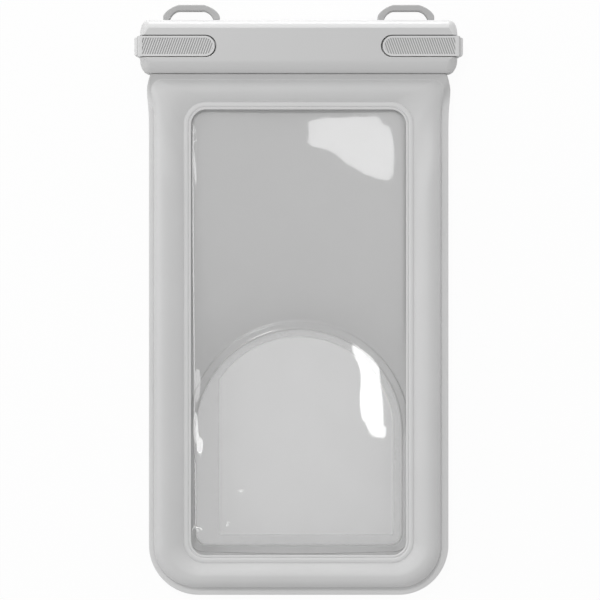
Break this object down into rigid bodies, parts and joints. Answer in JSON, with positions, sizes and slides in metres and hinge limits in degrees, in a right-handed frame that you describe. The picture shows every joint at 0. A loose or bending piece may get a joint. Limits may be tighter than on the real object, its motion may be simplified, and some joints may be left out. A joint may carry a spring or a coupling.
{
  "type": "waterproof phone pouch",
  "caption": "Flat floating pouch with padded frame, clear front window, arch-shaped camera window, and a rigid clamp closure with flip latches and lanyard loops.",
  "frame": {"origin": "on the resting plane, under the middle of the whole pouch as it lies on its back", "axes": "+X across the width to the right as the window is seen, +Y from the pouch to the closure, +Z out of the front window"},
  "size_m": [0.123, 0.2214, 0.015],
  "materials": {
    "closure_plastic": "satin moulded plastic, light grey",
    "latch_plastic": "satin moulded plastic, paler grey",
    "loop_plastic": "satin moulded plastic, mid grey",
    "silicone": "smooth silicone, off-white",
    "pin_steel": "drawn steel wire",
    "soft_film": "soft welded film, light grey, satin",
    "panel_film": "soft welded film, grey, satin",
    "clear_film": "clear glossy film"
  },
  "bodies": {
    "pouch": {"front_clamp_bar": "closure_plastic", "back_clamp_bar": "closure_plastic", "front_seal_strip": "silicone", "back_seal_strip": "silicone", "left_latch_pin": "pin_steel", "right_latch_pin": "pin_steel", "left_lanyard_loop": "loop_plastic", "right_lanyard_loop": "loop_plastic", "front_padded_frame": "soft_film", "back_padded_frame": "soft_film", "front_window": "clear_film", "back_panel": "panel_film", "camera_window": "clear_film"},
    "left_latch": {"left_latch": "latch_plastic"},
    "right_latch": {"right_latch": "latch_plastic"}
  },
  "joints": [
    {"name": "left_latch_hinge", "type": "hinge", "parent": "pouch", "child": "left_latch", "pos_m": [-0.0573, 0.0948, 0.0046], "axis": [0, -1, 0], "range_deg": [0, 90]},
    {"name": "right_latch_hinge", "type": "hinge", "parent": "pouch", "child": "right_latch", "pos_m": [0.0573, 0.0948, 0.0046], "axis": [0, 1, 0], "range_deg": [0, 90]}
  ]
}
